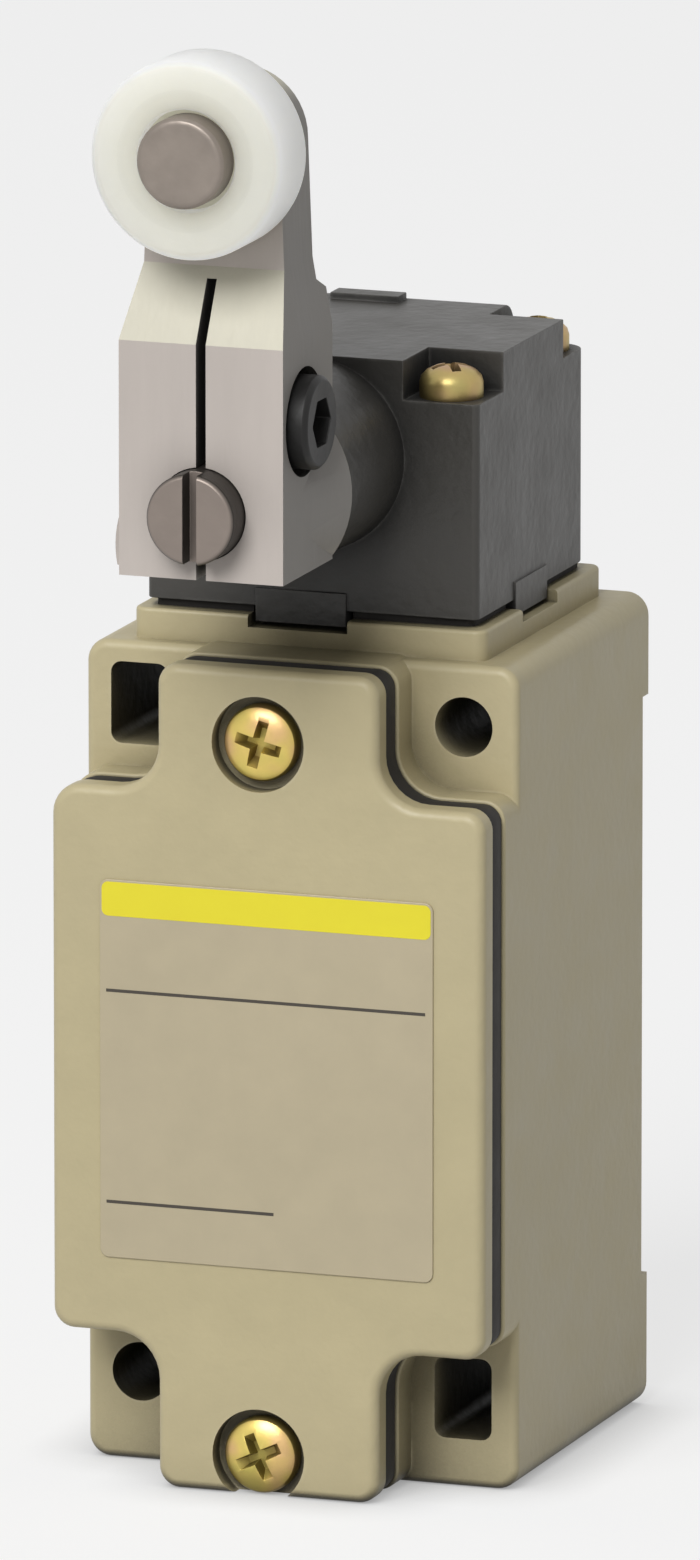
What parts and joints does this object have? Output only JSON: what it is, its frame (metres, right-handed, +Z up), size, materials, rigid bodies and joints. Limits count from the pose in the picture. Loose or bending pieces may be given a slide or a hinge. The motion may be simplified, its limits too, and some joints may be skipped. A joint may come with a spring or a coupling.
{
  "type": "roller lever limit switch",
  "caption": "Metal-cased limit switch with a cross-shaped screwed cover, a dark turret head and a clamped swinging lever that carries a white roller.",
  "frame": {"origin": "centre of the fixing-hole pattern on the back mounting plane", "axes": "+Z up, from the foot to the roller; +Y out of the back, into the mounting surface; +X to the right when the cover is faced"},
  "size_m": [0.04, 0.0658, 0.1309],
  "materials": {
    "case_paint": "satin",
    "head_paint": "satin",
    "lever_cast": "matte",
    "steel": "satin",
    "black_steel": "satin",
    "spring_steel": "satin",
    "gold_screw": "satin",
    "bronze": "satin",
    "contact_brass": "satin",
    "rubber": "matte",
    "nylon": "matte",
    "carrier_nylon": "matte",
    "moulding": "matte",
    "label": "satin"
  },
  "bodies": {
    "case": {"case_body": "case_paint", "front_cover": "case_paint", "cover_gasket": "rubber", "cover_screws": "gold_screw", "label_plate": "label", "head_housing": "head_paint", "head_gasket": "rubber", "head_screws": "gold_screw", "front_bush": "bronze", "rear_bush": "bronze", "shaft_seal": "rubber", "return_spring": "spring_steel", "plunger_guide": "bronze", "plunger_seal": "rubber", "plunger_spring": "spring_steel", "contact_base": "moulding", "block_screws": "gold_screw", "upper_contacts": "contact_brass", "lower_contacts": "contact_brass", "terminal_screws": "gold_screw", "terminal_washers": "steel", "earth_screw": "gold_screw"},
    "lever": {"lever_arm": "lever_cast", "clamp_screw": "black_steel", "roller_pin": "steel", "operating_shaft": "steel", "thrust_washer": "steel", "retaining_clip": "spring_steel", "drive_cam": "steel"},
    "roller": {"roller": "nylon"},
    "plunger": {"plunger": "steel", "contact_carrier": "carrier_nylon", "contact_bridges": "contact_brass", "contact_springs": "spring_steel"}
  },
  "joints": [
    {"name": "lever_swing", "type": "hinge", "parent": "case", "child": "lever", "pos_m": [0, -0.0175, 0.0527], "axis": [0, 1, 0], "range_deg": [-75, 75], "stiffness_Nm_per_rad": 0.15, "deforming": ["return_spring"]},
    {"name": "roller_spin", "type": "hinge", "parent": "lever", "child": "roller", "pos_m": [0, -0.061, 0.0842], "axis": [0, 1, 0], "continuous": true},
    {"name": "plunger_slide", "type": "slide", "parent": "case", "child": "plunger", "axis": [0, 0, 1], "range_m": [-0.00145, 0.00145], "deforming": ["plunger_spring"]}
  ],
  "couplings": [
    {"joint": "plunger_slide", "follows": "lever_swing", "m_per_rad": -0.0011}
  ]
}
